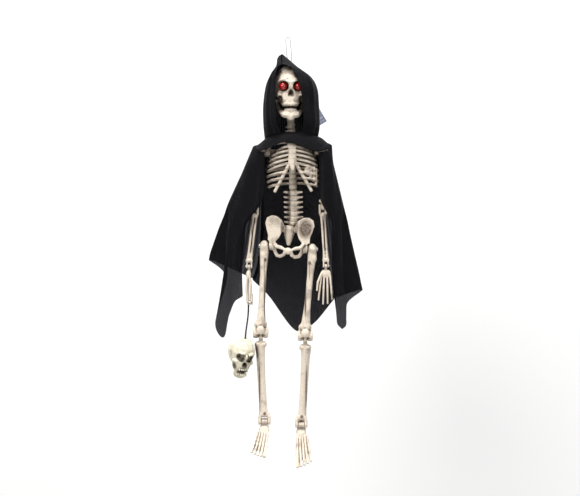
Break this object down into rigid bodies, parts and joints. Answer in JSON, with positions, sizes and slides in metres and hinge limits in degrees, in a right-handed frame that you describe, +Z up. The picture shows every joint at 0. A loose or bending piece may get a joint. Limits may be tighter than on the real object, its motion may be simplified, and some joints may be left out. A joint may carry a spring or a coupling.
{
  "type": "hanging skeleton decoration",
  "caption": "Jointed plastic skeleton in a black hooded cape, hung by a loop at the crown, with turning neck, hinged jaw and limbs, and a small skull on a cord in its hand.",
  "frame": {"origin": "the top of the hanging loop, where it rests on its pin", "axes": "+Z up; the figure faces -Y; its right side is -X; it hangs down from the origin"},
  "size_m": [0.1515, 0.0631, 0.4276],
  "materials": {
    "bone_plastic": "injection-moulded plastic with brown antiquing in its recesses",
    "skull_cream": "injection-moulded plastic with dark brown recesses",
    "red_acrylic": "glossy red bead",
    "black_voile": "thin sheer black cloth with cut edges",
    "clear_nylon": "clear nylon line",
    "black_cord": "thin twisted black cord",
    "pin_steel": "plain steel pins and screws",
    "tag_card": "printed card without text"
  },
  "bodies": {
    "hanger": {"hanging_loop": "clear_nylon"},
    "knot": {"loop_knot": "clear_nylon"},
    "skull": {"skull_face": "bone_plastic", "skull_back": "bone_plastic", "eye_right": "red_acrylic", "eye_left": "red_acrylic", "jaw_pin_right": "pin_steel", "jaw_pin_left": "pin_steel", "cape_hood": "black_voile", "tag_fastener": "clear_nylon"},
    "jaw": {"jaw": "bone_plastic"},
    "torso": {"neck": "bone_plastic", "ribcage_front": "bone_plastic", "ribcage_back": "bone_plastic", "lumbar_spine": "bone_plastic", "pelvis": "bone_plastic", "shoulder_right": "bone_plastic", "shoulder_left": "bone_plastic", "shoulder_screw_right": "pin_steel", "shoulder_screw_left": "pin_steel", "hip_screw_right": "pin_steel", "hip_screw_left": "pin_steel", "cape_yoke": "black_voile", "cape_back": "black_voile", "cape_wing_right": "black_voile", "cape_wing_left": "black_voile"},
    "skull_cord": {"skull_cord": "black_cord"},
    "small_skull": {"small_skull": "skull_cream"},
    "tag": {"hang_tag": "tag_card"},
    "upper_arm_right": {"humerus_right": "bone_plastic"},
    "forearm_right": {"forearm_right": "bone_plastic", "elbow_pin_right": "pin_steel", "wrist_pin_right": "pin_steel"},
    "hand_right": {"hand_right": "bone_plastic"},
    "thigh_right": {"femur_right": "bone_plastic", "knee_pin_right": "pin_steel"},
    "shin_right": {"shin_right": "bone_plastic", "ankle_pin_right": "pin_steel"},
    "foot_right": {"foot_right": "bone_plastic"},
    "upper_arm_left": {"humerus_left": "bone_plastic"},
    "forearm_left": {"forearm_left": "bone_plastic", "elbow_pin_left": "pin_steel", "wrist_pin_left": "pin_steel"},
    "hand_left": {"hand_left": "bone_plastic"},
    "thigh_left": {"femur_left": "bone_plastic", "knee_pin_left": "pin_steel"},
    "shin_left": {"shin_left": "bone_plastic", "ankle_pin_left": "pin_steel"},
    "foot_left": {"foot_left": "bone_plastic"}
  },
  "joints": [
    {"name": "figure_sway", "type": "hinge", "parent": "hanger", "child": "knot", "pos_m": [0, 0, 0], "axis": [0, 1, 0], "range_deg": [-15, 15], "deforming": ["hanging_loop"]},
    {"name": "figure_turn", "type": "hinge", "parent": "knot", "child": "skull", "pos_m": [0.0018, 0, -0.029], "axis": [0, 0, 1], "range_deg": [-90, 90], "stiffness_Nm_per_rad": 0.0012},
    {"name": "neck_turn", "type": "hinge", "parent": "skull", "child": "torso", "pos_m": [0.0018, 0.004, -0.074], "axis": [0, 0, 1], "range_deg": [-35, 35], "deforming": ["cape_hood", "cape_yoke", "cape_back", "cape_wing_right", "cape_wing_left"]},
    {"name": "jaw_open", "type": "hinge", "parent": "skull", "child": "jaw", "pos_m": [0.00185, -0.001, -0.0635], "axis": [0.9986, 0.0523, 0], "range_deg": [-7, 20]},
    {"name": "shoulder_right", "type": "hinge", "parent": "torso", "child": "upper_arm_right", "pos_m": [-0.0262, 0.001, -0.11564], "axis": [1, 0, 0], "range_deg": [-80, 8], "deforming": ["cape_wing_right", "cape_back"]},
    {"name": "elbow_right", "type": "hinge", "parent": "upper_arm_right", "child": "forearm_right", "pos_m": [-0.0332, 0, -0.17119], "axis": [1, 0, 0], "range_deg": [-110, 0]},
    {"name": "wrist_right", "type": "hinge", "parent": "forearm_right", "child": "hand_right", "pos_m": [-0.0387, -0.003, -0.22935], "axis": [1, 0, 0], "range_deg": [-40, 40]},
    {"name": "hip_right", "type": "hinge", "parent": "torso", "child": "thigh_right", "pos_m": [-0.02365, -0.001, -0.20885], "axis": [1, 0, 0], "range_deg": [-80, 20], "deforming": ["cape_wing_right", "cape_back"]},
    {"name": "knee_right", "type": "hinge", "parent": "thigh_right", "child": "shin_right", "pos_m": [-0.02715, -0.003, -0.29526], "axis": [1, 0, 0], "range_deg": [0, 100]},
    {"name": "ankle_right", "type": "hinge", "parent": "shin_right", "child": "foot_right", "pos_m": [-0.02365, -0.001, -0.38417], "axis": [1, 0, 0], "range_deg": [-40, 5]},
    {"name": "shoulder_left", "type": "hinge", "parent": "torso", "child": "upper_arm_left", "pos_m": [0.03479, 0.001, -0.11436], "axis": [1, 0, 0], "range_deg": [-80, 8], "deforming": ["cape_wing_left", "cape_back"]},
    {"name": "elbow_left", "type": "hinge", "parent": "upper_arm_left", "child": "forearm_left", "pos_m": [0.03479, 0, -0.17035], "axis": [1, 0, 0], "range_deg": [-110, 0]},
    {"name": "wrist_left", "type": "hinge", "parent": "forearm_left", "child": "hand_left", "pos_m": [0.03779, -0.003, -0.2287], "axis": [1, 0, 0], "range_deg": [-40, 40]},
    {"name": "hip_left", "type": "hinge", "parent": "torso", "child": "thigh_left", "pos_m": [0.02424, -0.001, -0.2122], "axis": [1, 0, 0], "range_deg": [-80, 20], "deforming": ["cape_wing_left", "cape_back"]},
    {"name": "knee_left", "type": "hinge", "parent": "thigh_left", "child": "shin_left", "pos_m": [0.01724, -0.003, -0.29839], "axis": [1, 0, 0], "range_deg": [0, 100]},
    {"name": "ankle_left", "type": "hinge", "parent": "shin_left", "child": "foot_left", "pos_m": [0.01324, -0.001, -0.38728], "axis": [1, 0, 0], "range_deg": [-40, 5]},
    {"name": "skull_cord_swing", "type": "hinge", "parent": "hand_right", "child": "skull_cord", "pos_m": [-0.0393, -0.003, -0.27195], "axis": [1, 0, 0], "range_deg": [-35, 35]},
    {"name": "small_skull_turn", "type": "hinge", "parent": "skull_cord", "child": "small_skull", "pos_m": [-0.0423, -0.011, -0.30025], "axis": [0, 0, 1], "range_deg": [0, 60], "stiffness_Nm_per_rad": 0.00004},
    {"name": "tag_swing", "type": "hinge", "parent": "skull", "child": "tag", "pos_m": [0.0155, 0.0266, -0.0615], "axis": [0, 1, 0], "range_deg": [-40, 40]}
  ]
}
